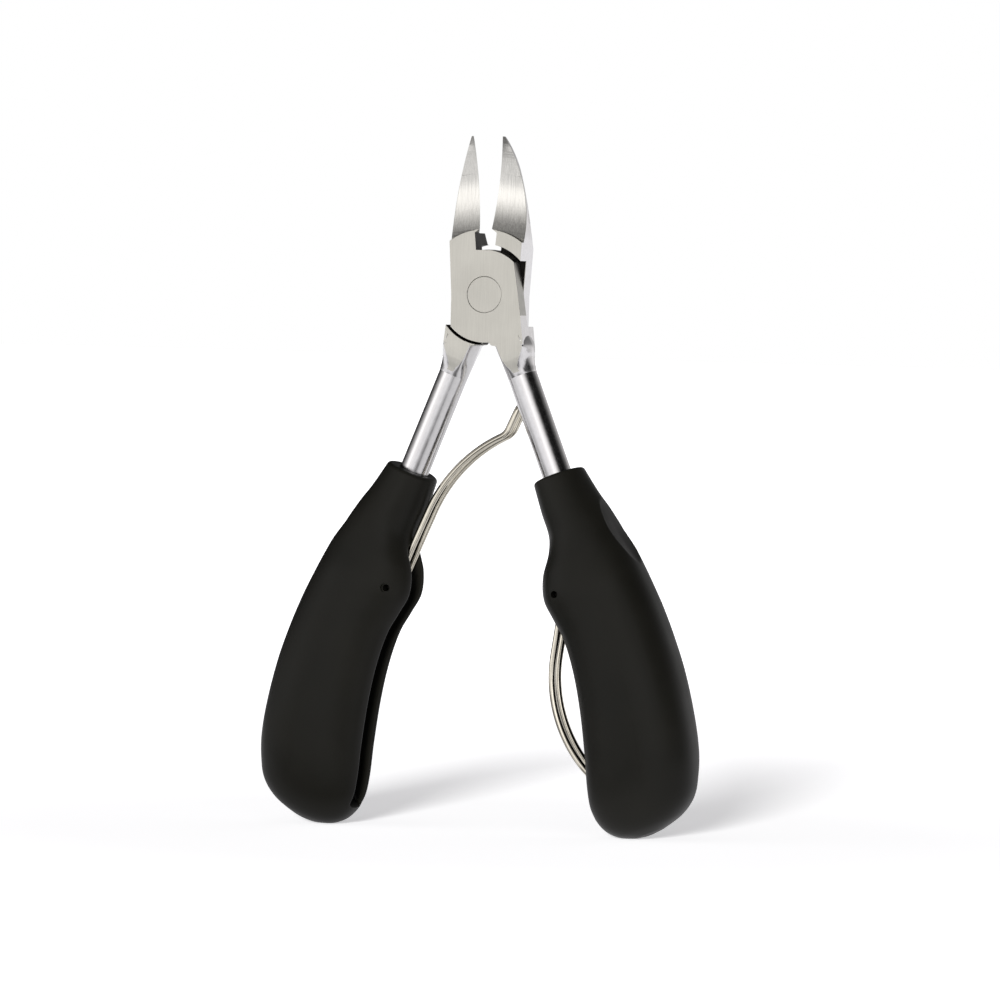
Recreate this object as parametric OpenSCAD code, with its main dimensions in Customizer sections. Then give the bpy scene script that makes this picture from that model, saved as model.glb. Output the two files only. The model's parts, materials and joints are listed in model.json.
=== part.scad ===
// Plier-type nail nipper standing on its two grip ends, jaws up, millimetres.
// The pliers lie in the XZ plane, the front faces -Y, and z = 0 is the surface that it stands on.
// The second grip is the first one turned 180 degrees about Z, and so is the second half, except
// that both jaws are ground hollow on the front.

/* [Joint] */
// Height of the pivot above the surface that the grips stand on
pivot_height = 97.8; // [96:0.1:104]
// Angle that each half is turned away from its closed position
half_open = 5.55; // [2:0.05:7]
// Thickness of the head, two half-laps together
head_thickness = 6.6; // [6:0.1:8]
// Gap between the faces of the two half-laps
lap_gap = 0.03; // [0.02:0.01:0.1]
// Radius of the round recess that each half-lap turns in
recess_r = 9.2; // [9.1:0.05:9.8]
// Radius of the flush rivet heads
rivet_head_r = 3.3; // [2.5:0.1:4]
// Radius of the rivet's shank between its heads
rivet_shank_r = 2.5; // [1.5:0.1:2.8]
// Height of each rivet head
rivet_head_h = 1.1; // [0.6:0.1:1.6]
// Radial running clearance of the rivet in both halves
rivet_clearance = 0.04; // [0.02:0.01:0.1]

/* [Jaws] */
// Height of the tips above the pivot
tip_height = 28.9; // [24:0.1:32]
// Height above the pivot where the cutting edge starts
edge_start = 12; // [11:0.1:14]
// Half of the gap between the closed cutting edges
edge_gap = 0.02; // [0.01:0.01:0.2]
// Distance that the throat steps back from the cutting edge
throat_step = 1; // [0.6:0.1:1.6]
// Radius of the flat boss that the hollow-ground faces stop at
boss_r = 11.9; // [11:0.1:13]
// Radius of the hollow grind on the front of the jaws
grind_r = 30; // [24:1:40]
// Angle that the hollow grind leans outwards
grind_tilt = 15; // [5:1:20]

/* [Shanks] */
// Angle between each shank and the vertical, at rest
shank_angle = 22; // [18:0.5:26]
// Diameter of the round shank
shank_d = 5.4; // [4.5:0.1:6]
// Distance of the shank's axis from the pivot, towards the outside
shank_offset = 0.7; // [0:0.1:1.5]
// Distance along the shank where it is fully round
shank_start = 15.9; // [15.8:0.1:16]
// Distance along the shank where the hidden tang ends
tang_end = 80; // [60:1:84]

/* [Grips] */
// Distance along the shank where the grip starts
grip_start = 35.3; // [34:0.1:37]
// Width of the channel that holds the folded spring
channel_w = 5.5; // [5.2:0.1:6]
// Radius of the finger dimple on the outer side
dimple_r = 30; // [24:1:40]
// Depth of the finger dimple
dimple_depth = 0.8; // [0.4:0.1:1]

/* [Springs] */
// Diameter of the spring wire
wire_d = 1.2; // [1:0.05:1.3]
// Distance between the two strands of the hairpin
strand_pitch = 3.5; // [3.2:0.1:3.6]
// Angle between the straight start of the stored spring and the shank
stored_angle = 150; // [148:0.5:152]
// Sideways lean of the working spring at its tip, where it rests on the opposite shank
working_lean = 3; // [2.5:0.1:3.2]
// Sideways lean of the stored spring at its tip
stored_lean = 0.3; // [0:0.1:0.4]
// Radial running clearance of the wire's feet in the grip
foot_clearance = 0.06; // [0.03:0.01:0.1]

/* [Hidden] */
$fn = 96;
tiny = 0.01;
reach = 60;                                // longer than any cut needs to be

head_half = head_thickness / 2;
closed_shank_angle = shank_angle - half_open;

// Pivot of the springs in the shank's frame: distance outwards, then distance from the pivot
pin_out = -5.1;
pin_along = 56;

// ---------------------------------------------------------------- frames

// Children are drawn around the pivot, in the frame of a closed half with its shank to the right
module at_pivot() {
    translate([0, 0, pivot_height]) rotate([0, -half_open, 0]) children();
}

// Children are drawn with +X outwards and -Z along the right shank, starting at the pivot
module along_shank() {
    translate([0, 0, pivot_height]) rotate([0, -shank_angle, 0]) children();
}

module other_side() { rotate([0, 0, 180]) children(); }

// Extrudes an outline drawn in X and Z, centred on y = 0
module plate(thickness) {
    rotate([90, 0, 0]) linear_extrude(thickness, center = true) children();
}

// Round bar along Y through (x, z), from y0 to y1
module cross_bar(r, x, z, y0, y1) {
    translate([x, y1, z]) rotate([90, 0, 0]) cylinder(r = r, h = y1 - y0);
}

function arc(r, from, to, steps = 16, centre = [0, 0]) =
    [for (i = [0:steps]) let (a = from + (to - from) * i / steps)
        centre + r * [cos(a), sin(a)]];

// ---------------------------------------------------------------- forged halves

// Front outline of a closed half: left jaw, half-lap and the start of the right shank
jaw_side_r = 39.55;                        // radius of the curved outer side of the jaw
jaw_side_centre = [33.45, 8.45];
lap_top_r = 8.2;                           // upper right corner of the half-lap
lap_low_r = 8.75;                          // lower left corner of the half-lap
lap_top = 8.1;                             // height of the throat's floor
throat_slope = 0.6;                        // height of the slope from the throat to the edge

module half_outline() {
    polygon(concat(
        [[-edge_gap, edge_start], [-edge_gap, tip_height], [-0.3, tip_height]],
        arc(jaw_side_r, 148.9, 176.6, 14, jaw_side_centre),
        [[-6.4, 0.4]],
        arc(lap_low_r, 217.5, 272, 14),
        [[0.65, -9.3], [1.9, -9.6], [6.8, -9.5], [6.7, -4.3], [6.45, 0.5]],
        arc(lap_top_r, 42, 81, 10),
        [[-edge_gap - throat_step, lap_top], [-edge_gap - throat_step, edge_start - throat_slope]]));
}

// The wheel that hollows the front of the jaw. It leans outwards and stops at the round boss
grind_middle = 20.4;                       // height of the deepest line of the grind
grind_floor = -2.05;                       // y of that line at the cutting edge
module front_grind() {
    difference() {
        translate([0, grind_floor - grind_r / cos(grind_tilt), grind_middle])
            rotate([0, 0, -grind_tilt]) rotate([0, 90, 0])
                cylinder(r = grind_r, h = reach, center = true, $fn = 180);
        cross_bar(boss_r, 0, 0, -reach, reach);
        translate([-reach / 2, -reach, -reach]) cube([reach, 2 * reach, reach]);
    }
}

// Relief of the jaw's back: concave from the boss up, then curving forwards to the tip
relief_r = 24;
relief_top = 22;                           // height where the back is furthest forward
relief_y = -0.45;                          // y of the back there
tip_curve_r = 11.5;
module back_relief() {
    translate([0, relief_y + relief_r, relief_top]) rotate([0, 90, 0])
        cylinder(r = relief_r, h = reach, center = true, $fn = 180);
    difference() {
        translate([-reach / 2, -head_thickness, relief_top]) cube([reach, reach, reach]);
        translate([0, relief_y - tip_curve_r, relief_top]) rotate([0, 90, 0])
            cylinder(r = tip_curve_r, h = reach, center = true, $fn = 120);
    }
}

// Bevel behind the cutting edge. The edge runs along the hollow grind, and the bevel's surface is
// round like the grind, so that the edge stays straight when it is seen from the front
bevel_angle = 22;
bevel_r = grind_r / sin(bevel_angle);
bevel_start = edge_start - 0.7;            // height where it starts
bevel_from = -edge_gap * cos(bevel_angle) + grind_floor * sin(bevel_angle);
module edge_bevel() {
    rotate([0, 0, bevel_angle]) difference() {
        translate([bevel_from - 4, -reach / 2, bevel_start]) cube([reach, reach, reach]);
        translate([bevel_from - bevel_r, 0, grind_middle]) rotate([90, 0, 0])
            cylinder(r = bevel_r, h = 2 * reach, center = true, $fn = 180);
    }
}

// Both jaws are hollow-ground on the front face, so the rear half's jaw is ground on the other side
module jaw_grinding() {
    front_grind();
    back_relief();
    edge_bevel();
}

// Neck of the forging, from the flat lap into the round shank. Each section is the distance along
// the shank, half depth, outer side, outer and inner end of the flat face, and corner squareness
NECK = [
    [ 8.6, 3.27, 4.10, 3.60, -1.10, 1.5],
    [11.2, 3.27, 4.50, 3.60, -1.05, 1.4],
    [12.4, 3.24, 4.35, 2.80, -0.95, 1.5],
    [13.6, 3.12, 3.90, 1.80, -0.60, 1.7],
    [14.8, 2.90, 3.60, 1.10,  0.10, 1.9],
    [16.0, 2.75, 3.46, 0.71,  0.71, 2.0],
    [16.6, 2.45, 3.14, 0.71,  0.71, 2.0]];
neck_in = -2.04;                           // inner side, in line with the round shank
quarter_points = 8;

function neck_point(g, t) = let (c = cos(t), end = c > 0 ? g[3] : g[4],
        r = c > 0 ? g[2] - g[3] : g[4] - max(neck_in, g[4] - g[1]))
    [end + r * signed_power(c, 2 / g[5]), g[1] * signed_power(sin(t), 2 / g[5]), -g[0]];
// The ends of the flat faces need a point of their own on each side of the middle
neck_angles = [for (q = [0:3], i = [0:quarter_points - 1]) 90 * q + 0.5
    + 89 * i / (quarter_points - 1)];
module neck() {
    skin([for (g = smooth_sections(NECK, 2)) [for (t = neck_angles) neck_point(g, t)]]);
}

module half(mirrored) {
    difference() {
        union() {
            plate(head_thickness) half_outline();
            rotate([0, -closed_shank_angle, 0]) {
                neck();
                translate([shank_offset, 0, -tang_end])
                    cylinder(d = shank_d, h = tang_end - shank_start);
            }
        }
        if (mirrored) mirror([0, 1, 0]) jaw_grinding();
        else jaw_grinding();
        cross_bar(recess_r, 0, 0, -lap_gap / 2, reach);
        cross_bar(rivet_shank_r + rivet_clearance, 0, 0, -reach, reach);
        cross_bar(rivet_head_r + rivet_clearance, 0, 0, -reach,
                  -head_half + rivet_head_h + rivet_clearance);
    }
}

module front_half() { color("#c4c4c0") at_pivot() half(false); }
module rear_half() { color("#b2b3b2") other_side() at_pivot() half(true); }

// ---------------------------------------------------------------- rivet

rivet_sink = 0.05;                         // how far its ends lie below the ground faces
module pivot_rivet() {
    end = head_half - rivet_sink;
    color("#a9a9a5") translate([0, 0, pivot_height]) {
        cross_bar(rivet_shank_r, 0, 0, -end, end);
        for (y = [-end, end - rivet_head_h + rivet_sink])
            cross_bar(rivet_head_r, 0, 0, y, y + rivet_head_h - rivet_sink);
    }
}

// ---------------------------------------------------------------- grips

// Sections across the shank: distance from the pivot, outer side, inner side, half depth and
// squareness. The inner side swells into an ear around the spring's pivot
GRIP = [
    [ 35.3,  5.6,  -3.8, 5.5, 2.0],
    [ 41.0,  6.9,  -4.2, 6.1, 2.0],
    [ 45.5,  8.3,  -4.3, 6.6, 2.1],
    [ 48.5,  8.9,  -5.4, 7.0, 2.3],
    [ 52.0,  9.6,  -7.7, 7.5, 2.5],
    [ 56.0, 10.1,  -8.9, 8.0, 2.6],
    [ 60.0, 10.5,  -8.4, 8.1, 2.6],
    [ 64.0, 10.8,  -7.8, 8.2, 2.6],
    [ 70.0, 10.9,  -8.1, 8.4, 2.6],
    [ 77.0, 10.6,  -9.3, 8.5, 2.6],
    [ 85.0,  9.5, -11.3, 8.5, 2.6],
    [ 91.0,  8.2, -13.1, 8.3, 2.5],
    [ 95.0,  6.7, -13.8, 7.8, 2.4],
    [ 98.5,  4.7, -13.0, 6.7, 2.3],
    [100.8,  1.6, -11.0, 4.9, 2.2],
    [102.1, -2.5,  -8.0, 2.4, 2.1],
    [102.4, -4.6,  -6.2, 0.7, 2.0]];
ring_points = 40;
rings_between = 3;                         // rings added between two listed sections

// Slope of column c at section i, from its neighbours
function slope(t, i, c) = let (a = max(i - 1, 0), b = min(i + 1, len(t) - 1))
    (t[b][c] - t[a][c]) / (t[b][0] - t[a][0]);
// Smooth value of column c a share u of the way from section i to the next
function between(t, i, u, c) = let (d = t[i + 1][0] - t[i][0], v = 1 - u)
    (1 + 2 * u) * v * v * t[i][c] + u * v * v * d * slope(t, i, c)
    + u * u * (3 - 2 * u) * t[i + 1][c] - u * u * v * d * slope(t, i + 1, c);
function smooth_sections(t, n) = concat(
    [for (i = [0:len(t) - 2], k = [0:n - 1]) let (u = k / n)
        concat([t[i][0] + u * (t[i + 1][0] - t[i][0])],
               [for (c = [1:len(t[0]) - 1]) between(t, i, u, c)])],
    [t[len(t) - 1]]);

function signed_power(x, p) = sign(x) * pow(abs(x), p);
function grip_ring(g) = let (middle = (g[1] + g[2]) / 2, a = (g[1] - g[2]) / 2)
    [for (k = [0:ring_points - 1]) let (t = 360 * k / ring_points)
        [middle + a * signed_power(cos(t), 2 / g[4]),
         g[3] * signed_power(sin(t), 2 / g[4]), -g[0]]];

// Closed skin over a list of rings that all have the same number of points
module skin(rings) {
    m = len(rings[0]);
    n = len(rings);
    polyhedron(
        points = [for (r = rings) each r],
        faces = concat(
            [[for (k = [m - 1:-1:0]) k]],
            [for (i = [0:n - 2], k = [0:m - 1]) let (a = i * m + k, b = i * m + (k + 1) % m)
                each [[a, b, b + m], [a, b + m, a + m]]],
            [[for (k = [0:m - 1]) (n - 1) * m + k]]));
}

// The channel is open towards the other handle and runs out at the top into the neck
CHANNEL = [
    [-4.5, -46.4], [-3.5, -50], [-3.2, -56], [-3.5, -62], [-4.3, -72], [-5.8, -82],
    [-8.2, -90], [-9.8, -94.2], [-12, -96], [-22, -96], [-22, -46.4]];

counterbore_r = 0.85;                      // the round mouth seen from outside
counterbore_y = 6.9;
foot_end = 5.4;                            // y where the spring's feet end, inside the hole
dimple_at = [8.9, -48.8];                  // outermost point of the grip's side in the dimple
tang_clearance = 0.02;                     // between the tang and its bore in the grip

module grip() {
    difference() {
        skin([for (g = smooth_sections(GRIP, rings_between)) grip_ring(g)]);
        translate([shank_offset, 0, -tang_end - 0.2])
            cylinder(r = shank_d / 2 + tang_clearance, h = reach);
        plate(channel_w) polygon(CHANNEL);
        cross_bar(wire_d / 2 + foot_clearance, pin_out, -pin_along, -reach, reach);
        for (y = [-reach, counterbore_y])
            cross_bar(counterbore_r, pin_out, -pin_along, y, y + reach - counterbore_y);
        translate([dimple_at[0] - dimple_depth + dimple_r, 0, dimple_at[1]])
            sphere(r = dimple_r, $fn = 120);
    }
}

module right_grip() { color("#23211f") along_shank() grip(); }
module left_grip() { color("#23211f") other_side() along_shank() grip(); }

// ---------------------------------------------------------------- springs

// The hairpin's side view, from its pivot up: straight, long bow inwards, kink back, straight end.
// The same spring is bent tighter while it is stored. Each form is the length of the straight,
// the bow's radius and angle, the kink's angle, and the lean at the tip
WORKING = [15, 27, 42, -41, working_lean];
STORED = [11.3, 24.6, 54, -30, stored_lean];
kink_r = 2.8;
end_straight = 4.7;
corner_r = 1.1;                            // bends at the closed tip and at the feet
wire_sides = 12;

// Point after a turn of radius r through angle a, from point p and heading h.
// Heading 0 is up and positive headings lean inwards
function turned(p, h, r, a) = let (s = sign(a))
    p + s * r * [-(cos(h) - cos(h + a)), sin(h + a) - sin(h)];
function bow_end(f) = turned([0, f[0]], 0, f[1], f[2]);
function kink_end(f) = turned(bow_end(f), f[2], kink_r, f[3]);
function end_way(f) = [-sin(f[2] + f[3]), cos(f[2] + f[3])];
function tip(f) = kink_end(f) + end_straight * end_way(f);

function side_view(f) = concat(
    [for (i = [2:1:6]) [0, f[0] * i / 7]],
    [for (i = [0:11]) turned([0, f[0]], 0, f[1], f[2] * i / 12)],
    [for (i = [0:4]) turned(bow_end(f), f[2], kink_r, f[3] * i / 4)],
    [tip(f) - corner_r * end_way(f)]);
lean_start = 8;                            // height above the pivot where it leaves the channel
function lean(f, z) = -f[4] * max(0, z - lean_start) / (tip(f)[1] - lean_start);

// One strand with its bent foot and its share of the closed tip
tip_half = strand_pitch / 2 - corner_r;
function strand(f) = concat(
    [for (i = [0:foot_points - 1]) let (a = 90 * i / foot_points)
        [0, strand_pitch / 2 + corner_r * (1 - sin(a)), corner_r * (1 - cos(a))]],
    [[0, strand_pitch / 2 + lean(f, corner_r), corner_r]],
    [for (p = side_view(f)) [p[0], strand_pitch / 2 + lean(f, p[1]), p[1]]],
    [for (i = [1:4]) let (a = 90 * i / 4, p = tip(f) + corner_r * (sin(a) - 1) * end_way(f))
        [p[0], tip_half + corner_r * cos(a) + lean(f, p[1]), p[1]]]);

// The other strand is its mirror image across the leaning middle plane. The feet do not lean
foot_points = 4;
function hairpin(f) = let (side = strand(f)) concat(side,
    [for (i = [len(side) - 1:-1:0]) let (p = side[i])
        [p[0], 2 * (i < foot_points ? 0 : lean(f, p[2])) - p[1], p[2]]]);

function unit(v) = v / norm(v);
function heading_at(path, i) =
    unit(path[min(i + 1, len(path) - 1)] - path[max(i - 1, 0)]);
// Each ring's first direction is the last one's, turned as little as the path turns
function carried(path, i = 0, list = []) = i == len(path) ? list :
    let (d = heading_at(path, i), last = i == 0 ? [1, 0, 0] : list[i - 1],
         n = unit(last - (last * d) * d))
    carried(path, i + 1, concat(list, [n]));

module wire(path) {
    frames = carried(path);
    skin([for (i = [0:len(path) - 1])
        let (d = heading_at(path, i), n = frames[i], b = cross(d, n))
        [for (k = [0:wire_sides - 1]) let (t = -360 * k / wire_sides)
            path[i] + wire_d / 2 * (cos(t) * n + sin(t) * b)]]);
}

// Hairpin around its own pivot, for the right-hand grip
module spring(f) {
    wire(hairpin(f));
    start = strand_pitch / 2 + corner_r - 0.2;
    for (y = [-foot_end, start])
        cross_bar(wire_d / 2 + tiny, 0, 0, y, y + foot_end - start);
}

module right_spring() {
    color("#b8b2a2") along_shank() translate([pin_out, 0, -pin_along])
        rotate([0, -stored_angle, 0]) spring(STORED);
}
module left_spring() {
    color("#b8b2a2") other_side() along_shank() translate([pin_out, 0, -pin_along])
        spring(WORKING);
}

front_half();
rear_half();
pivot_rivet();
left_grip();
right_grip();
left_spring();
right_spring();
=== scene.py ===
import json
import math

import bmesh
import bpy
import numpy as np
from mathutils import Matrix, Vector


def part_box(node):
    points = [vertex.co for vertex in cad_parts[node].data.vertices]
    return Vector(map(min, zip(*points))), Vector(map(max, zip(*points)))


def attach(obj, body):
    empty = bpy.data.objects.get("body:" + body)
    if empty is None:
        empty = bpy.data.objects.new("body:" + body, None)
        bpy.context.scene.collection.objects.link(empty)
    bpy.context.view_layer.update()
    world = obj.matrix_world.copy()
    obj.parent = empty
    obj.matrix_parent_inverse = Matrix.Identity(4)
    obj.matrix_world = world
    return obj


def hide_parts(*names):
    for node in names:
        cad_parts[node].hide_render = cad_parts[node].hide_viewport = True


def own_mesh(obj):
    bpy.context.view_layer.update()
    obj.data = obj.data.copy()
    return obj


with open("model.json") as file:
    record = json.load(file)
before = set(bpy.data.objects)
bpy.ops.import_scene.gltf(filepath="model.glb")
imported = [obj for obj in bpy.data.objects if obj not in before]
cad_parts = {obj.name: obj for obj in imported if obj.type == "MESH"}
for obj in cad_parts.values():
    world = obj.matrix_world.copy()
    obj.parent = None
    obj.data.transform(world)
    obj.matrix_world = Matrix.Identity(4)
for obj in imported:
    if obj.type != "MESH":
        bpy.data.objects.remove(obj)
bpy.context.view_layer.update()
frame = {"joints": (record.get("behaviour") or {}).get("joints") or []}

# The pieces are built in millimetres around the pivot, in the same two frames as the CAD model:
# the frame of a closed half (x, y, z) and the frame of the shank (outwards, y, along the shank).
MM = 0.001
JOINTS = {j["name"]: j for j in frame["joints"]}
PIVOT_Z = JOINTS["jaw_pivot"]["pos_m"][2] / MM
HALF_OPEN = JOINTS["jaw_pivot"]["range_deg"][1] / 2
SHANK_ANGLE = 22.0
HEAD_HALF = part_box("front_half")[1].y / MM
SHANK_R = 2.7
SHANK_OUT = 0.7
PIN_OUT, PIN_ALONG = -5.1, 56.0


# ------------------------------------------------------------------ frames and mesh helpers

def turn_y(degrees):
    return Matrix.Rotation(math.radians(degrees), 4, "Y")


TO_PIVOT = Matrix.Translation((0, 0, PIVOT_Z))
OTHER_SIDE = Matrix.Rotation(math.pi, 4, "Z")
HALF_FRAME = TO_PIVOT @ turn_y(-HALF_OPEN)
SHANK_FRAME = TO_PIVOT @ turn_y(-SHANK_ANGLE)


def add_object(name, verts, faces, matrix=Matrix.Identity(4)):
    """A mesh object from millimetre points, carried into the row frame in metres."""
    mesh = bpy.data.meshes.new(name)
    mesh.from_pydata([tuple(v) for v in verts], [], [tuple(f) for f in faces])
    mesh.transform(Matrix.Scale(MM, 4) @ matrix)
    mesh.validate()
    obj = bpy.data.objects.new(name, mesh)
    bpy.context.scene.collection.objects.link(obj)
    return obj


def fix_normals(obj):
    bm = bmesh.new()
    bm.from_mesh(obj.data)
    bmesh.ops.recalc_face_normals(bm, faces=bm.faces)
    bm.to_mesh(obj.data)
    bm.free()


def apply_modifiers(obj):
    graph = bpy.context.evaluated_depsgraph_get()
    mesh = bpy.data.meshes.new_from_object(obj.evaluated_get(graph))
    obj.modifiers.clear()
    obj.data = mesh


def combine(obj, other, operation):
    """Boolean of two solids. The second one is used up."""
    modifier = obj.modifiers.new("combine", "BOOLEAN")
    modifier.operation = operation
    modifier.solver = "EXACT"
    modifier.object = other
    apply_modifiers(obj)
    bpy.data.objects.remove(other)


def smooth(obj, degrees):
    """Smooth shading with edges sharper than the angle kept."""
    obj.data.shade_smooth()
    obj.data.set_sharp_from_angle(angle=math.radians(degrees))


def metric(matrix):
    """The same move for points that are already in metres."""
    return Matrix.Scale(MM, 4) @ matrix @ Matrix.Scale(1 / MM, 4)


def weigh_normals(obj):
    """Flat faces keep flat shading right up to their broken edges."""
    modifier = obj.modifiers.new("normals", "WEIGHTED_NORMAL")
    modifier.keep_sharp = True
    modifier.weight = 80
    apply_modifiers(obj)


def between(name, first, second):
    """Solid between two parallel outlines with the same number of points."""
    n = len(first)
    faces = [list(range(n)), list(range(2 * n - 1, n - 1, -1))]
    faces += [(i, n + i, n + (i + 1) % n, (i + 1) % n) for i in range(n)]
    obj = add_object(name, first + second, faces)
    fix_normals(obj)
    return obj


def prism(name, outline, y0, y1):
    """Outline in x and z, made solid from y0 to y1."""
    return between(name, [(x, y0, z) for x, z in outline], [(x, y1, z) for x, z in outline])


def loft(name, points, count, matrix=Matrix.Identity(4)):
    """Closed skin over rings of that many points each."""
    rows = len(points) // count
    faces = [list(range(count))[::-1]]
    for k in range(rows - 1):
        a, b = k * count, (k + 1) * count
        faces += [(a + i, a + (i + 1) % count, b + (i + 1) % count, b + i) for i in range(count)]
    faces.append(list(range((rows - 1) * count, rows * count)))
    obj = add_object(name, points, faces, matrix)
    fix_normals(obj)
    return obj


def rod(name, radius, start, end, sides):
    """Round bar between two points."""
    start, end = Vector(start), Vector(end)
    turn = Vector((0, 0, 1)).rotation_difference(end - start).to_matrix().to_4x4()
    angles = [2 * math.pi * i / sides for i in range(sides)]
    circle = [(radius * math.cos(a), radius * math.sin(a)) for a in angles]
    verts = [(x, y, z) for z in (0, (end - start).length) for x, y in circle]
    faces = [list(range(sides - 1, -1, -1)), list(range(sides, 2 * sides))]
    faces += [(i, (i + 1) % sides, sides + (i + 1) % sides, sides + i) for i in range(sides)]
    return add_object(name, verts, faces, Matrix.Translation(start) @ turn)


def arc(radius, start, end, steps, centre=(0, 0)):
    """Points on a circle in x and z, from one angle in degrees to another."""
    angles = np.radians(np.linspace(start, end, steps + 1))
    return [(centre[0] + radius * math.cos(a), centre[1] + radius * math.sin(a)) for a in angles]


# ------------------------------------------------------------------ forged halves

EDGE_GAP = 0.02
EDGE_START = 12.0
TIP = 28.9
REACH = 60.0            # longer than any cut needs to be
BOSS_R = 11.9           # flat boss that the hollow grind stops at
RECESS_R, LAP_GAP = 9.2, 0.03
BORE_R, HEAD_BORE_R, HEAD_BORE_DEPTH = 2.54, 3.34, 1.14
SHANK_START, TANG_END = 15.9, 80
EDGE_BREAK = 0.22


def half_outline():
    """Left jaw, half-lap and the start of the right shank, as on a closed front half."""
    throat = -EDGE_GAP - 1.0
    return ([(-EDGE_GAP, EDGE_START), (-EDGE_GAP, TIP), (-0.3, TIP)]
            + arc(39.55, 148.9, 176.6, 40, (33.45, 8.45))
            + [(-6.4, 0.4)]
            + arc(8.75, 217.5, 272, 40)
            + [(0.65, -9.3), (1.9, -9.6), (6.8, -9.5), (6.7, -4.3), (6.45, 0.5)]
            + arc(8.2, 42, 81, 30)
            + [(throat, 8.1), (throat, EDGE_START - 0.6)])


def y_bar(radius, y0, y1, sides=160):
    return rod("bar", radius, (0, y0, 0), (0, y1, 0), sides)


GRIND_R, GRIND_FLOOR, GRIND_MIDDLE = 30.0, -2.05, 20.4
GRIND_TILT = math.radians(15)
BEVEL_ANGLE = math.radians(22)


def front_grind():
    """The wheel that hollows the jaw's front. It leans outwards and stops at the round boss."""
    centre = Vector((0, GRIND_FLOOR - GRIND_R / math.cos(GRIND_TILT), GRIND_MIDDLE))
    axis = Vector((math.cos(GRIND_TILT), -math.sin(GRIND_TILT), 0))
    wheel = rod("wheel", GRIND_R, centre - axis * REACH / 2, centre + axis * REACH / 2, 720)
    combine(wheel, y_bar(BOSS_R, -REACH, REACH, 240), "DIFFERENCE")
    below = [(-REACH, 0), (REACH, 0), (REACH, -REACH), (-REACH, -REACH)]
    combine(wheel, prism("below", below, -REACH * 2, REACH), "DIFFERENCE")
    return wheel


def back_relief():
    """Side view of what is ground off the jaw's back, as a prism across it."""
    top, back, relief_r, tip_r = 22.0, -0.45, 24.0, 11.5
    low = math.degrees(math.acos((relief_r - (HEAD_HALF + 0.3 - back)) / relief_r))
    lower = [(back + relief_r - relief_r * math.cos(math.radians(a)),
              top - relief_r * math.sin(math.radians(a))) for a in np.linspace(low, 0, 90)]
    upper = [(back - tip_r + tip_r * math.cos(math.radians(a)),
              top + tip_r * math.sin(math.radians(a))) for a in np.linspace(1, 45, 60)]
    outline = lower + upper + [(HEAD_HALF + 0.3, upper[-1][1])]
    left = [(-REACH, y, z) for y, z in outline]
    right = [(REACH, y, z) for y, z in outline]
    return between("relief", left, right)


def edge_bevel():
    """Bevel behind the cutting edge, round like the grind so that the edge stays straight."""
    radius = GRIND_R / math.sin(BEVEL_ANGLE)
    start = -EDGE_GAP * math.cos(BEVEL_ANGLE) + GRIND_FLOOR * math.sin(BEVEL_ANGLE)
    low = EDGE_START - 0.7
    heights = np.linspace(low, TIP + 2, 90)
    curve = [(start - radius + math.sqrt(radius ** 2 - (z - GRIND_MIDDLE) ** 2), z)
             for z in heights]
    outline = curve + [(REACH / 2, heights[-1]), (REACH / 2, low)]
    obj = prism("bevel", outline, -REACH / 2, REACH / 2)
    obj.data.transform(Matrix.Rotation(BEVEL_ANGLE, 4, "Z"))
    return obj


# Neck from the flat lap into the round shank: distance along the shank, half depth, outer side,
# outer and inner end of the flat face, squareness of the corners
NECK = np.array([
    [8.6, 3.298, 4.10, 3.60, -1.10, 1.5],
    [11.2, 3.298, 4.50, 3.60, -1.05, 1.4],
    [12.4, 3.24, 4.35, 2.80, -0.95, 1.5],
    [13.6, 3.12, 3.90, 1.80, -0.60, 1.7],
    [14.8, 2.90, 3.60, 1.10, 0.10, 1.9],
    [16.0, 2.72, 3.43, 0.71, 0.71, 2.0],
    [16.6, 2.50, 3.20, 0.71, 0.71, 2.0]])
NECK_IN = -2.02


def neck():
    """Flat forging that runs into the round shank, where the flat face narrows to a point."""
    angles = [90 * q + t for q in range(4) for t in np.linspace(0.5, 89.5, 18)]
    rings = []
    for s in np.concatenate([np.arange(8.6, 16.0, 0.15), [16.0, 16.6]]):
        s, depth, outer, flat_out, flat_in, power = hermite(NECK, s)
        for t in angles:
            c, q = math.cos(math.radians(t)), math.sin(math.radians(t))
            end = flat_out if c > 0 else flat_in
            reach = outer - flat_out if c > 0 else flat_in - max(NECK_IN, flat_in - depth)
            rings.append((end + reach * math.copysign(abs(c) ** (2 / power), c),
                          depth * math.copysign(abs(q) ** (2 / power), q), -s))
    return loft("neck", rings, len(angles), turn_y(HALF_OPEN - SHANK_ANGLE))


def bevel_share(middle):
    """Share of the full edge break at a point on the half: wide on the jaw's outer side, fading
    to the tip, a hair around the rivet, and none on the cutting edge or where the flat runs into
    the neck."""
    radius = math.hypot(middle.x, middle.z)
    if abs(middle.y) > HEAD_HALF - 0.04 and middle.z < -8.9:
        return 0.0
    if radius < 3.6:
        return 0.1
    if middle.z > 8.5 and middle.x < 2:
        if abs(middle.x) < 1.3:
            return 0.0
        return 0.6 * min(max((27.6 - middle.z) / 5, 0), 1) if middle.z > 12 else 0.4
    return 0.5


def bevel_weights(obj):
    bm = bmesh.new()
    bm.from_mesh(obj.data)
    layer = bm.edges.layers.float.new("bevel_weight_edge")
    for edge in bm.edges:
        if len(edge.link_faces) == 2 and edge.calc_face_angle(0) > math.radians(28):
            edge[layer] = bevel_share((edge.verts[0].co + edge.verts[1].co) / 2 / MM)
    bm.to_mesh(obj.data)
    bm.free()


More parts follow.
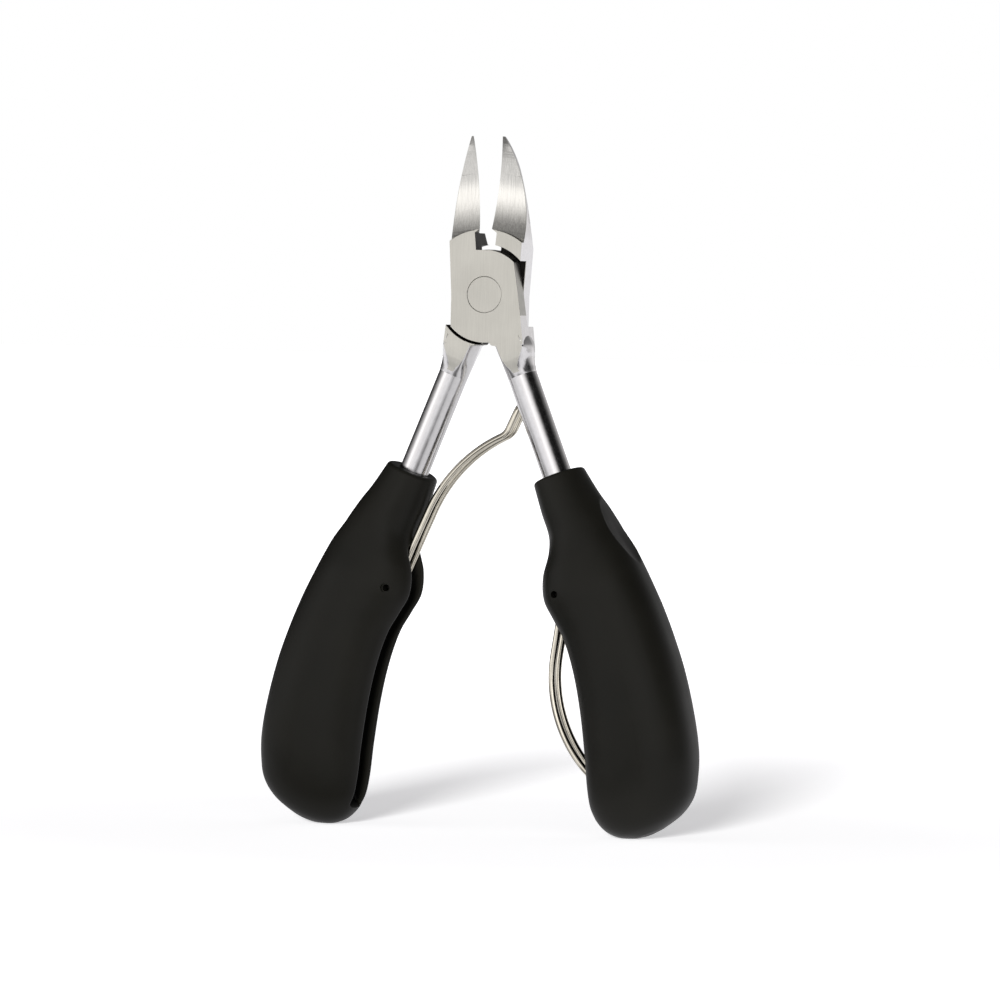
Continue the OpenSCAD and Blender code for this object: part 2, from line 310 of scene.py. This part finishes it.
def add_bevel(obj, width):
    modifier = obj.modifiers.new("edges", "BEVEL")
    modifier.limit_method = "WEIGHT"
    modifier.width = width * MM
    modifier.segments = 2
    modifier.use_clamp_overlap = False
    modifier.miter_outer = "MITER_ARC"
    apply_modifiers(obj)


def grind_jaw(obj, mirrored):
    """Both jaws are hollow on the front, so the rear half is ground on its other side."""
    for cutter in (front_grind(), back_relief(), edge_bevel()):
        if mirrored:
            cutter.data.transform(Matrix.Scale(-1, 4, (0, 1, 0)))
        fix_normals(cutter)
        combine(obj, cutter, "DIFFERENCE")


def half(name, matrix, mirrored):
    obj = prism(name, half_outline(), -HEAD_HALF, HEAD_HALF)
    combine(obj, neck(), "UNION")
    shank = rod("shank", SHANK_R, (SHANK_OUT, 0, -SHANK_START), (SHANK_OUT, 0, -TANG_END), 96)
    shank.data.transform(metric(turn_y(HALF_OPEN - SHANK_ANGLE)))
    combine(obj, shank, "UNION")
    grind_jaw(obj, mirrored)
    combine(obj, y_bar(RECESS_R, -LAP_GAP / 2, REACH), "DIFFERENCE")
    combine(obj, y_bar(BORE_R, -REACH, REACH, 96), "DIFFERENCE")
    combine(obj, y_bar(HEAD_BORE_R, -REACH, -HEAD_HALF + HEAD_BORE_DEPTH, 96), "DIFFERENCE")
    bevel_weights(obj)
    add_bevel(obj, EDGE_BREAK)
    smooth(obj, 32)
    weigh_normals(obj)
    obj.data.transform(metric(matrix))
    return obj


def rivet():
    """Flush rivet with two heads, turned as one profile around its axis."""
    end, head = HEAD_HALF - 0.05, 1.05
    profile = [(0, end), (3.2, end), (3.28, end - 0.03), (3.3, end - 0.1), (3.3, end - head),
               (2.5, end - head)]
    profile += [(r, -y) for r, y in reversed(profile)]
    sides = 96
    angles = np.linspace(0, 2 * math.pi, sides, endpoint=False)
    verts = [(0, end, 0)]
    for r, y in profile[1:-1]:
        verts += [(r * math.cos(a), y, r * math.sin(a)) for a in angles]
    verts.append((0, -end, 0))
    rings = len(profile) - 2
    faces = [(0, 1 + i, 1 + (i + 1) % sides) for i in range(sides)]
    for k in range(rings - 1):
        a, b = 1 + k * sides, 1 + (k + 1) * sides
        faces += [(a + i, b + i, b + (i + 1) % sides, a + (i + 1) % sides) for i in range(sides)]
    last = 1 + (rings - 1) * sides
    faces += [(last + i, len(verts) - 1, last + (i + 1) % sides) for i in range(sides)]
    obj = add_object("rivet", verts, faces, TO_PIVOT)
    fix_normals(obj)
    smooth(obj, 12)
    return obj


# ------------------------------------------------------------------ grips

# Distance along the shank, outer side, inner side, half depth, squareness: as in the CAD model
GRIP = np.array([
    [35.3, 5.6, -3.8, 5.5, 2.0],
    [41.0, 6.9, -4.2, 6.1, 2.0],
    [45.5, 8.3, -4.3, 6.6, 2.1],
    [48.5, 8.9, -5.4, 7.0, 2.3],
    [52.0, 9.6, -7.7, 7.5, 2.5],
    [56.0, 10.1, -8.9, 8.0, 2.6],
    [60.0, 10.5, -8.4, 8.1, 2.6],
    [64.0, 10.8, -7.8, 8.2, 2.6],
    [70.0, 10.9, -8.1, 8.4, 2.6],
    [77.0, 10.6, -9.3, 8.5, 2.6],
    [85.0, 9.5, -11.3, 8.5, 2.6],
    [91.0, 8.2, -13.1, 8.3, 2.5],
    [95.0, 6.7, -13.8, 7.8, 2.4],
    [98.5, 4.7, -13.0, 6.7, 2.3],
    [100.8, 1.6, -11.0, 4.9, 2.2],
    [102.1, -2.5, -8.0, 2.4, 2.1],
    [102.4, -4.6, -6.2, 0.7, 2.0]])
# Floor of the channel that holds the folded spring
CHANNEL = np.array([[46.4, -4.5], [50, -3.5], [56, -3.2], [62, -3.5], [72, -4.3], [82, -5.8],
                    [90, -8.2], [94.2, -9.8], [96, -12.0], [97.5, -16.0]])
CHANNEL_HALF = 2.75
RIM_R = 0.8
FLOOR_R = 0.9
# Cross hole for the wire's feet, and its wider mouths from that depth outwards
HOLE_R, HOLE_MOUTH_R, HOLE_MOUTH_Y = 0.66, 0.9, 6.9


def hermite(table, s):
    """Row of the table at s, smooth through every listed row."""
    x = table[:, 0]
    last = len(x) - 1
    i = min(max(int(np.searchsorted(x, s, "right")) - 1, 0), last - 1)

    def slope(k):
        a, b = max(k - 1, 0), min(k + 1, last)
        return (table[b] - table[a]) / (x[b] - x[a])

    d = x[i + 1] - x[i]
    u = (s - x[i]) / d
    v = 1 - u
    return ((1 + 2 * u) * v * v * table[i] + u * v * v * d * slope(i)
            + u * u * (3 - 2 * u) * table[i + 1] - u * u * v * d * slope(i + 1))


def ease(x):
    x = min(max(x, 0.0), 1.0)
    return x * x * (3 - 2 * x)


def even(points, count, keep_last=False):
    """The same line with its points at even distances."""
    points = np.asarray(points)
    steps = np.linalg.norm(np.diff(points, axis=0), axis=1)
    along = np.concatenate([[0], np.cumsum(steps)])
    targets = np.linspace(0, along[-1], count + 1)
    if not keep_last:
        targets = targets[:-1]
    return np.stack([np.interp(targets, along, points[:, k]) for k in range(2)], axis=1)


def bezier(a, b, c, steps=12):
    t = np.linspace(0, 1, steps + 1)[:, None]
    a, b, c = (np.asarray(p, float) for p in (a, b, c))
    return (1 - t) ** 2 * a + 2 * t * (1 - t) * b + t * t * c


SKIN_POINTS, RIM_POINTS, WALL_POINTS, FLOOR_POINTS = 64, 10, 8, 12


def half_section(s):
    """Half of a grip's section at s, from the outer side round to the middle of the inner side, as
    distance outwards and depth. The channel is cut where its floor lies under the skin."""
    _, outer, inner, depth, power = hermite(GRIP, s)
    middle, width = (outer + inner) / 2, (outer - inner) / 2

    def skin(t):
        c, q = np.cos(t), np.sin(t)
        return np.stack([middle + width * np.sign(c) * np.abs(c) ** (2 / power),
                         depth * np.abs(q) ** (2 / power)], axis=-1)

    lip = min(CHANNEL_HALF + RIM_R, 0.6 * depth)
    t_lip = math.pi - math.asin((lip / depth) ** (power / 2))
    outside = even(skin(np.linspace(0, t_lip, 400)), SKIN_POINTS)
    inside_count = RIM_POINTS + WALL_POINTS + FLOOR_POINTS
    plain = even(skin(np.linspace(t_lip, math.pi, 200)), inside_count, True)
    edge = plain[0]
    floor = np.interp(s, CHANNEL[:, 0], CHANNEL[:, 1], left=-9, right=-20)
    share = ease((floor - edge[0]) / 0.7)
    if share > 0:
        room = floor - edge[0]
        rim, fillet = min(RIM_R, 0.45 * room), min(FLOOR_R, 0.45 * room)
        lip_slope = (plain[1] - plain[0]) / np.linalg.norm(plain[1] - plain[0])
        w = min(CHANNEL_HALF, lip - 0.2)
        corner = (edge[0] + lip_slope[0] / max(-lip_slope[1], 0.2) * (edge[1] - w), w)
        rim_line = even(bezier(edge, corner, (corner[0] + rim, w)), RIM_POINTS)
        wall = even([(corner[0] + rim, w), (floor - fillet, w)], WALL_POINTS)
        bottom = even(np.concatenate([bezier((floor - fillet, w), (floor, w), (floor, w - fillet)),
                                      [(floor, 0)]]), FLOOR_POINTS, True)
        cut = np.concatenate([rim_line, wall, bottom])
        plain = plain + (cut - plain) * share
    section = np.concatenate([outside, plain])
    return shape_skin(section, s, depth)


def shape_skin(section, s, depth):
    """The faint ridge along the front and back, and the dimple for the thumb on the outer side."""
    ridge_at = np.interp(s, [57, 77, 85, 91, 97], [2.6, 2.5, 1.5, 0.0, -0.8])
    ridge = 0.22 * ease((s - 56) / 8) * ease((99 - s) / 6)
    n, y = section[:, 0].copy(), section[:, 1].copy()
    flank = np.clip((y / depth - 0.6) / 0.3, 0, 1)
    y = y + ridge * flank * (np.maximum(0, 1 - np.abs(n - ridge_at) / 4.5) - 0.5)
    reach = ((s - 48.8) / 6.7) ** 2 + (y / 3.9) ** 2
    on_outer = n > 3
    dip = np.where(on_outer & (reach < 1), 0.95 * np.clip(1 - reach, 0, 1) ** 0.85, 0)
    return np.stack([n - dip, y], axis=1)


def full_ring(section, s):
    """Closed ring of points from a half section, mirrored in depth."""
    front = [(n, -y, -s) for n, y in section]
    back = [(n, y, -s) for n, y in section[-2:0:-1]]
    return np.array(front + back)


def grip(name, matrix):
    top, end = GRIP[0, 0], GRIP[-1, 0]
    bore_end, bore_r, edge_r = 80.2, 2.72, 0.7
    first = half_section(top + edge_r)
    count = len(full_ring(first, 0))
    angles = 2 * math.pi * np.arange(count) / count

    def bore_ring(s, radius):
        return np.array([(SHANK_OUT + radius * math.cos(a), -radius * math.sin(a), -s)
                         for a in angles])

    rings = [bore_ring(s, bore_r) for s in np.linspace(bore_end, top + 0.25, 12)]
    rings.append(bore_ring(top + 0.05, bore_r + 0.08))
    rings.append(bore_ring(top, bore_r + 0.3))
    centre = np.array([(GRIP[0, 1] + GRIP[0, 2]) / 2, 0])
    for a in np.radians(np.linspace(0, 80, 9)):
        section = half_section(top + edge_r)
        away = section - centre
        inset = edge_r * (1 - math.sin(a))
        section = section - away / np.linalg.norm(away, axis=1)[:, None] * inset
        rings.append(full_ring(section, top + edge_r * (1 - math.cos(a))))
    for s in np.concatenate([np.arange(top + edge_r, 98, 0.34), np.arange(98, 101.6, 0.18),
                             np.arange(101.6, end - 0.01, 0.07), [end]]):
        rings.append(full_ring(half_section(s), s))
    obj = loft(name, np.concatenate(rings), count)
    for radius, y0, y1 in ((HOLE_R, -REACH, REACH), (HOLE_MOUTH_R, -REACH, -HOLE_MOUTH_Y),
                           (HOLE_MOUTH_R, HOLE_MOUTH_Y, REACH)):
        cutter = rod("hole", radius, (PIN_OUT, y0, -PIN_ALONG), (PIN_OUT, y1, -PIN_ALONG), 40)
        combine(obj, cutter, "DIFFERENCE")
    smooth(obj, 40)
    obj.data.transform(metric(matrix))
    return obj


# ------------------------------------------------------------------ springs

WIRE_R = 0.6
STRAND = 3.5 / 2
CORNER = 1.1
KINK_R, LAST = 2.8, 4.7
STORED_ANGLE = 150.0
FOOT_END = 5.4
FOOT_SHADE_FROM = 4.4    # the feet's ends are painted near black from that depth outwards, as painted shade in the hole
LEAN_START = 8.0
# Straight, bow radius, bow angle, kink angle and sideways lean at the tip
WORKING = (15.0, 27.0, 42.0, -41.0, 3.0)
STORED = (11.3, 24.6, 54.0, -30.0, 0.3)


def turned(point, heading, radius, angle):
    """End of a turn of that radius and angle. Heading 0 is up, and positive angles lean inwards."""
    h, e = math.radians(heading), math.radians(heading + angle)
    side = 1 if angle > 0 else -1
    return np.array([point[0] - side * radius * (math.cos(h) - math.cos(e)),
                     point[1] + side * radius * (math.sin(e) - math.sin(h))])


def spring_path(form):
    """Centre line of the hairpin around its own pivot, from one foot to the other."""
    straight, bow_r, bow, kink, tip_lean = form
    bow_start = np.array([0.0, straight])
    bow_end = turned(bow_start, 0, bow_r, bow)
    kink_end = turned(bow_end, bow, KINK_R, kink)
    heading = math.radians(bow + kink)
    up = np.array([-math.sin(heading), math.cos(heading)])
    tip = kink_end + LAST * up
    view = [np.array([0, z]) for z in np.linspace(CORNER, straight, 12)]
    view += [turned(bow_start, 0, bow_r, a) for a in np.linspace(0, bow, 40)[1:]]
    view += [turned(bow_end, bow, KINK_R, a) for a in np.linspace(0, kink, 12)[1:]]
    view += [kink_end + (tip - kink_end) * t for t in np.linspace(0, 1 - CORNER / LAST, 5)[1:]]

    def lean(z):
        return -tip_lean * min(max(z - LEAN_START, 0) / (tip[1] - LEAN_START), 1)

    bend = np.radians(np.linspace(0, 90, 9))
    foot = [(0, STRAND + CORNER * (1 - math.sin(a)), CORNER * (1 - math.cos(a))) for a in bend[:-1]]
    strand = [(p[0], STRAND + lean(p[1]), p[1]) for p in view]
    inner = tip - CORNER * up
    corner = [(*(inner + CORNER * math.sin(a) * up), STRAND - CORNER + CORNER * math.cos(a))
              for a in bend[1:]]
    corner = [(x, y + lean(z), z) for x, z, y in corner]
    side = [(0, FOOT_END - 0.15, 0)] + foot + strand + corner
    feet = 1 + len(foot)
    other = [(x, (0 if i < feet else 2 * lean(z)) - y, z) for i, (x, y, z) in enumerate(side)]
    return np.array(side + other[::-1])


def tube(name, path, radius, sides, matrix):
    """Round wire along a line, with softly rounded ends."""
    heading = np.gradient(path, axis=0)
    heading /= np.linalg.norm(heading, axis=1)[:, None]
    normal = np.array([1.0, 0, 0])
    rings = []
    for p, d in zip(path, heading):
        normal = normal - d * normal.dot(d)
        normal /= np.linalg.norm(normal)
        across = np.cross(d, normal)
        angles = 2 * math.pi * np.arange(sides) / sides
        rings.append(np.array([normal * math.cos(a) + across * math.sin(a) for a in angles]))
    sections = []
    for share, out in ((0.55, 0.15), (0.88, 0.1)):
        sections.append(path[0] - heading[0] * out + radius * share * rings[0])
    sections += [p + radius * r for p, r in zip(path, rings)]
    for share, out in ((0.88, 0.1), (0.55, 0.15)):
        sections.append(path[-1] + heading[-1] * out + radius * share * rings[-1])
    obj = loft(name, np.concatenate(sections), sides, matrix)
    smooth(obj, 50)
    return obj


def hairpin(name, matrix, form, angle):
    at_pin = Matrix.Translation((PIN_OUT, 0, -PIN_ALONG)) @ turn_y(-angle)
    return tube(name, spring_path(form), WIRE_R, 20, matrix @ at_pin)


# ------------------------------------------------------------------ materials

def material(name, metallic=0.0):
    mat = bpy.data.materials.new(name)
    mat.use_nodes = True
    shader = mat.node_tree.nodes["Principled BSDF"]
    shader.inputs["Metallic"].default_value = metallic
    return mat, mat.node_tree, shader


def link(tree, a, b):
    tree.links.new(a, b)


def mapped_noise(tree, scale, detail, squeeze=(1, 1, 1), rough=0.5):
    """Noise in the piece's own coordinates, drawn out along an axis by squeeze."""
    coords = tree.nodes.new("ShaderNodeTexCoord")
    mapping = tree.nodes.new("ShaderNodeMapping")
    mapping.inputs["Scale"].default_value = squeeze
    noise = tree.nodes.new("ShaderNodeTexNoise")
    noise.inputs["Scale"].default_value = scale
    noise.inputs["Detail"].default_value = detail
    noise.inputs["Roughness"].default_value = rough
    link(tree, coords.outputs["Object"], mapping.inputs["Vector"])
    link(tree, mapping.outputs["Vector"], noise.inputs["Vector"])
    return noise.outputs["Fac"]


def ramp(tree, value, low, high, a, b):
    """Value from low..high carried to a..b."""
    node = tree.nodes.new("ShaderNodeMapRange")
    node.inputs["From Min"].default_value = low
    node.inputs["From Max"].default_value = high
    node.inputs["To Min"].default_value = a
    node.inputs["To Max"].default_value = b
    link(tree, value, node.inputs["Value"])
    return node.outputs["Result"]


def colour_ramp(tree, value, stops):
    node = tree.nodes.new("ShaderNodeValToRGB")
    elements = node.color_ramp.elements
    for element, (position, colour) in zip(elements, (stops[0], stops[-1])):
        element.position, element.color = position, (*colour, 1)
    for position, colour in stops[1:-1]:
        elements.new(position).color = (*colour, 1)
    link(tree, value, node.inputs["Fac"])
    return node.outputs["Color"]


def bump(tree, shader, height, strength, distance):
    node = tree.nodes.new("ShaderNodeBump")
    node.inputs["Strength"].default_value = strength
    node.inputs["Distance"].default_value = distance
    link(tree, height, node.inputs["Height"])
    link(tree, node.outputs["Normal"], shader.inputs["Normal"])


def satin_steel():
    """Ground flat faces: fine lines along the head and a warm grey."""
    mat, tree, shader = material("satin_steel", metallic=1.0)
    lines = mapped_noise(tree, 9000, 3, (1, 1, 0.02), 0.6)
    cloud = mapped_noise(tree, 160, 3)
    link(tree, colour_ramp(tree, lines, [(0.3, (0.6, 0.585, 0.53)), (0.7, (0.66, 0.645, 0.585))]),
         shader.inputs["Base Color"])
    link(tree, ramp(tree, cloud, 0.3, 0.7, 0.36, 0.44), shader.inputs["Roughness"])
    bump(tree, shader, lines, 0.12, 0.00001)
    return mat


def ground_steel():
    """Hollow-ground blade faces: coarser lines up the blade."""
    mat, tree, shader = material("ground_steel", metallic=1.0)
    lines = mapped_noise(tree, 5500, 4, (1, 1, 0.012), 0.7)
    link(tree, colour_ramp(tree, lines, [(0.25, (0.5, 0.49, 0.46)), (0.75, (0.74, 0.73, 0.69))]),
         shader.inputs["Base Color"])
    link(tree, ramp(tree, lines, 0.2, 0.8, 0.14, 0.24), shader.inputs["Roughness"])
    bump(tree, shader, lines, 0.35, 0.00002)
    return mat


def polished_steel():
    """Round shanks and forged sides: bright, with faint hairlines."""
    mat, tree, shader = material("polished_steel", metallic=1.0)
    marks = mapped_noise(tree, 700, 4, (1, 1, 1), 0.6)
    link(tree, colour_ramp(tree, marks, [(0.3, (0.68, 0.67, 0.67)), (0.7, (0.76, 0.75, 0.755))]),
         shader.inputs["Base Color"])
    link(tree, ramp(tree, marks, 0.3, 0.7, 0.17, 0.24), shader.inputs["Roughness"])
    bump(tree, shader, marks, 0.05, 0.00002)
    return mat


def darker_steel(name, low, high, roughness):
    """Darker steel: near black as painted shade in the recess, on the throat wall and on the wire's
    feet in their holes, and mid grey on the half-lap's side.
    """
    mat, tree, shader = material(name, metallic=1.0)
    marks = mapped_noise(tree, 900, 3)
    link(tree, colour_ramp(tree, marks, [(0.3, low), (0.7, high)]), shader.inputs["Base Color"])
    shader.inputs["Roughness"].default_value = roughness
    return mat


def nickel_wire():
    mat, tree, shader = material("nickel_wire", metallic=1.0)
    marks = mapped_noise(tree, 1500, 3)
    link(tree, colour_ramp(tree, marks, [(0.3, (0.64, 0.6, 0.51)), (0.7, (0.74, 0.7, 0.6))]),
         shader.inputs["Base Color"])
    link(tree, ramp(tree, marks, 0.3, 0.7, 0.1, 0.16), shader.inputs["Roughness"])
    return mat


def black_grip():
    """Moulded satin black plastic with a fine grain."""
    mat, tree, shader = material("black_grip")
    shader.inputs["Specular IOR Level"].default_value = 0.15
    grain = mapped_noise(tree, 7000, 3, (1, 1, 1), 0.55)
    cloud = mapped_noise(tree, 90, 3)
    dark, light = (0.003, 0.0029, 0.0023), (0.0042, 0.004, 0.0032)
    link(tree, colour_ramp(tree, cloud, [(0.3, dark), (0.7, light)]), shader.inputs["Base Color"])
    link(tree, ramp(tree, cloud, 0.3, 0.7, 0.36, 0.46), shader.inputs["Roughness"])
    bump(tree, shader, grain, 0.25, 0.00003)
    return mat


# ------------------------------------------------------------------ assembly

SATIN, GROUND, POLISHED = satin_steel(), ground_steel(), polished_steel()
# Near black steel painted as shade in the recess, on the throat wall and on the wire's feet in
# their holes.
PAINTED_SHADE = darker_steel("recess_painted_shade", (0.012, 0.011, 0.01), (0.03, 0.028, 0.026), 0.5)
LAP_SIDE = darker_steel("lap_side_steel", (0.36, 0.36, 0.33), (0.42, 0.41, 0.38), 0.3)
WIRE, BLACK = nickel_wire(), black_grip()


def finish_or_shade_of(centre, normal):
    """Which finish, or painted shade, a face has, from its place and direction in the closed half's
    frame.
    """
    turn = math.radians(SHANK_ANGLE - HALF_OPEN)
    along = centre.x * math.sin(turn) - centre.z * math.cos(turn)
    radius = math.hypot(centre.x, centre.z)
    in_recess = radius < 9.3 and abs(centre.y) < HEAD_HALF - 0.3
    radial = abs(normal.x * centre.x + normal.z * centre.z) > 0.8 * radius
    # Painted shade: the lap floor and the recess wall between the halves are painted near black.
    if in_recess and (abs(centre.y) < 0.03 or (radial and radius > 9)):
        return PAINTED_SHADE
    # Painted shade: the throat wall, facing the other jaw across a narrow gap, is painted near
    # black.
    if normal.x > 0.8 and -1.3 < centre.x < -0.7 and 8 < centre.z < 11.4:
        return PAINTED_SHADE
    if normal.x > 0.6 and centre.x > 5.5 and -4.3 < centre.z < 7:
        return LAP_SIDE
    if along > 9.6 and not (along < 15.4 and abs(normal.y) > 0.97):
        return POLISHED
    if centre.z > 11.0 and abs(normal.y) > 0.3 and abs(centre.y) < HEAD_HALF - 0.015:
        return GROUND
    return POLISHED if abs(normal.x) > 0.8 else SATIN


def paint_half(obj, matrix):
    back = metric(matrix).inverted()
    finishes_and_shade = [SATIN, GROUND, POLISHED, PAINTED_SHADE, LAP_SIDE]
    for mat in finishes_and_shade:
        obj.data.materials.append(mat)
    for face in obj.data.polygons:
        look = finish_or_shade_of(back @ face.center / MM, back.to_3x3() @ face.normal)
        face.material_index = finishes_and_shade.index(look)


def place(obj, body, slot, *nodes):
    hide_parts(*nodes)
    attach(obj, body)


front = half("forged_half_front", HALF_FRAME, False)
paint_half(front, HALF_FRAME)
place(front, "front_half", "steel", "front_half")
rear = half("forged_half_rear", OTHER_SIDE @ HALF_FRAME, True)
paint_half(rear, OTHER_SIDE @ HALF_FRAME)
place(rear, "rear_half", "steel", "rear_half")

pin = rivet()
pin.data.materials.append(SATIN)
place(pin, "front_half", "rivet_steel", "pivot_rivet")

for side, body, matrix in (("right", "front_half", SHANK_FRAME),
                           ("left", "rear_half", OTHER_SIDE @ SHANK_FRAME)):
    shell = grip(side + "_handle_grip", matrix)
    shell.data.materials.append(BLACK)
    place(shell, body, "grip", side + "_grip")
    stored = side == "right"
    form, angle = (STORED, STORED_ANGLE) if stored else (WORKING, 0)
    wire = hairpin(side + "_hairpin", matrix, form, angle)
    # Painted shade: the feet's ends inside the grip's hole are painted near black.
    for mat in (WIRE, PAINTED_SHADE):
        wire.data.materials.append(mat)
    for face in wire.data.polygons:
        face.material_index = int(abs(face.center.y) / MM > FOOT_SHADE_FROM)
    place(wire, side + "_spring", "wire", side + "_spring")
    # The real wire is steel and bends. Here each wire only gets a mesh of its own.
    if stored:
        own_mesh(wire)
    else:
        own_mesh(wire)


# ------------------------------------------------------------------ camera, floor and light

def add_camera():
    """Long lens, a little to the right of the front and almost level."""
    azimuth, elevation, roll, distance, width = 20.0, 1.5, -1.5, 1365.0, 182.0
    aim_right, aim_up = 2.73, -37.3
    az, el, ro = (math.radians(a) for a in (azimuth, elevation, roll))
    right = Vector((math.cos(az), math.sin(az), 0))
    up = Vector((-math.sin(az) * math.sin(el), math.cos(az) * math.sin(el), math.cos(el)))
    back = Vector((math.sin(az) * math.cos(el), -math.cos(az) * math.cos(el), math.sin(el)))
    place_mm = Vector((0, 0, PIVOT_Z)) + right * aim_right + up * aim_up + back * distance
    turned_right = right * math.cos(ro) - up * math.sin(ro)
    turned_up = right * math.sin(ro) + up * math.cos(ro)
    data = bpy.data.cameras.new("camera")
    data.sensor_width = 36
    data.lens = 36 * distance / width
    data.clip_start, data.clip_end = 0.05, 50
    cam = bpy.data.objects.new("camera", data)
    matrix = Matrix((turned_right, turned_up, back)).transposed().to_4x4()
    matrix.translation = place_mm * MM
    cam.matrix_world = matrix
    bpy.context.scene.collection.objects.link(cam)
    bpy.context.scene.camera = cam


# What the metal reflects, as brightness by azimuth and by elevation. Azimuth 0 is in front of the
# object and positive ones are to its right: a wide bright front with white strips for the blades,
# then black flags on both sides, and a paler back
AROUND = [(-180, 0.5), (-168, 0.4), (-155, 0.03), (-112, 0.06), (-92, 0.35), (-68, 1.0),
          (-56, 1.75), (-44, 1.65), (-34, 1.22), (-10, 1.22), (2, 1.75), (30, 1.75), (38, 0.9),
          (46, 0.04), (98, 0.04), (114, 0.5), (145, 1.0), (180, 0.6)]
UPWARDS = [(-90, 0.1), (-32, 0.1), (-20, 0.3), (-9, 0.95), (0, 1.0), (9, 1.0), (17, 0.5),
           (25, 0.16), (60, 0.14), (90, 0.25)]
# The floor's brightness in reflections, close to the object
FLOOR_AROUND = [(-180, 0.6), (-75, 0.55), (-65, 0.1), (-38, 0.1), (-29, 0.8), (-12, 0.8),
                (-3, 0.1), (22, 0.1), (34, 0.7), (100, 0.85), (180, 0.6)]


def math_node(tree, operation, a, b=None):
    node = tree.nodes.new("ShaderNodeMath")
    node.operation = operation
    for socket, value in zip(node.inputs, (a, b)):
        if isinstance(value, (int, float)):
            socket.default_value = value
        elif value is not None:
            link(tree, value, socket)
    return node.outputs["Value"]


def grey_curve(tree, value, points, low, high):
    """Brightness along a line of (angle, brightness) points."""
    share = ramp(tree, value, math.radians(low), math.radians(high), 0, 1)
    stops = [((angle - low) / (high - low), (level / 2,) * 3) for angle, level in points]
    return math_node(tree, "MULTIPLY", colour_ramp(tree, share, stops), 2.0)


def azimuth_of(tree, direction):
    split = tree.nodes.new("ShaderNodeSeparateXYZ")
    link(tree, direction, split.inputs["Vector"])
    ahead = math_node(tree, "MULTIPLY", split.outputs["Y"], -1.0)
    return math_node(tree, "ARCTAN2", split.outputs["X"], ahead)


def elevation_of(tree, direction):
    split = tree.nodes.new("ShaderNodeSeparateXYZ")
    link(tree, direction, split.inputs["Vector"])
    return math_node(tree, "ARCSINE", split.outputs["Z"])


def pick_for_camera(tree, other, seen, kind="FLOAT"):
    """One value for what the camera sees directly and another for light and reflections."""
    path = tree.nodes.new("ShaderNodeLightPath")
    mix = tree.nodes.new("ShaderNodeMix")
    mix.data_type = kind
    sockets = [s for s in mix.inputs if s.enabled and s.name in ("A", "B")]
    link(tree, path.outputs["Is Camera Ray"], mix.inputs["Factor"])
    for socket, value in zip(sockets, (other, seen)):
        if isinstance(value, (int, float, tuple)):
            socket.default_value = value
        else:
            link(tree, value, socket)
    return next(s for s in mix.outputs if s.enabled)


def add_floor():
    """Pale floor that runs into the white surroundings. In reflections it is dark close by in
    front, so that the blades' lower faces and tips are dark, and bright further away."""
    radius, sides = 12000, 96
    circle = [(radius * math.cos(a), radius * math.sin(a), 0)
              for a in np.linspace(0, 2 * math.pi, sides, endpoint=False)]
    obj = add_object("floor", circle, [list(range(sides))])
    mat, tree, shader = material("floor_white")
    shader.inputs["Roughness"].default_value = 0.9
    shader.inputs["Specular IOR Level"].default_value = 0.0
    shader.inputs["Emission Color"].default_value = (0.985, 0.98, 1, 1)
    coords = tree.nodes.new("ShaderNodeTexCoord")
    length = tree.nodes.new("ShaderNodeVectorMath")
    length.operation = "LENGTH"
    link(tree, coords.outputs["Object"], length.inputs[0])
    away = length.outputs["Value"]
    near = grey_curve(tree, azimuth_of(tree, coords.outputs["Object"]), FLOOR_AROUND, -180, 180)
    far = ramp(tree, away, 0.22, 0.38, 0, 1)
    # Near level, and the rest of the way to full brightness with distance
    rest = math_node(tree, "MULTIPLY", math_node(tree, "SUBTRACT", 0.95, near), far)
    reflected = math_node(tree, "ADD", near, rest)
    shown = ramp(tree, away, 0.08, 0.6, 0.5, 1.0)
    link(tree, pick_for_camera(tree, reflected, shown), shader.inputs["Emission Strength"])
    link(tree, pick_for_camera(tree, (0.1, 0.1, 0.1, 1), (0.9, 0.9, 0.9, 1), "RGBA"),
         shader.inputs["Base Color"])
    obj.data.materials.append(mat)


def add_world():
    """White behind the object, and a studio around it for what the metal reflects."""
    world = bpy.data.worlds.new("studio")
    bpy.context.scene.world = world
    world.use_nodes = True
    tree = world.node_tree
    shown = tree.nodes["Background"]
    shown.inputs["Color"].default_value = (1, 1, 1, 1)
    shown.inputs["Strength"].default_value = 1.0
    coords = tree.nodes.new("ShaderNodeTexCoord")
    azimuth = azimuth_of(tree, coords.outputs["Generated"])
    elevation = elevation_of(tree, coords.outputs["Generated"])
    level = math_node(tree, "MULTIPLY", grey_curve(tree, azimuth, AROUND, -180, 180),
                      grey_curve(tree, elevation, UPWARDS, -90, 90))
    studio = tree.nodes.new("ShaderNodeBackground")
    studio.inputs["Color"].default_value = (1.0, 0.985, 0.985, 1)
    link(tree, level, studio.inputs["Strength"])
    path = tree.nodes.new("ShaderNodeLightPath")
    mix = tree.nodes.new("ShaderNodeMixShader")
    link(tree, path.outputs["Is Camera Ray"], mix.inputs["Fac"])
    link(tree, studio.outputs["Background"], mix.inputs[1])
    link(tree, shown.outputs["Background"], mix.inputs[2])
    link(tree, mix.outputs["Shader"], tree.nodes["World Output"].inputs["Surface"])


def add_key(azimuth, elevation, strength, angle):
    """Low broad sun that only throws the soft shadow. The metal does not mirror it."""
    data = bpy.data.lights.new("key", "SUN")
    data.energy = strength
    data.angle = math.radians(angle)
    az, el = math.radians(azimuth), math.radians(elevation)
    way = Vector((math.sin(az) * math.cos(el), -math.cos(az) * math.cos(el), math.sin(el)))
    obj = bpy.data.objects.new("key", data)
    obj.visible_glossy = False
    obj.rotation_euler = way.to_track_quat("Z", "Y").to_euler()
    bpy.context.scene.collection.objects.link(obj)


add_camera()
add_floor()
add_world()
add_key(10, 9, 8, 10)
bpy.context.scene.view_settings.view_transform = "Standard"
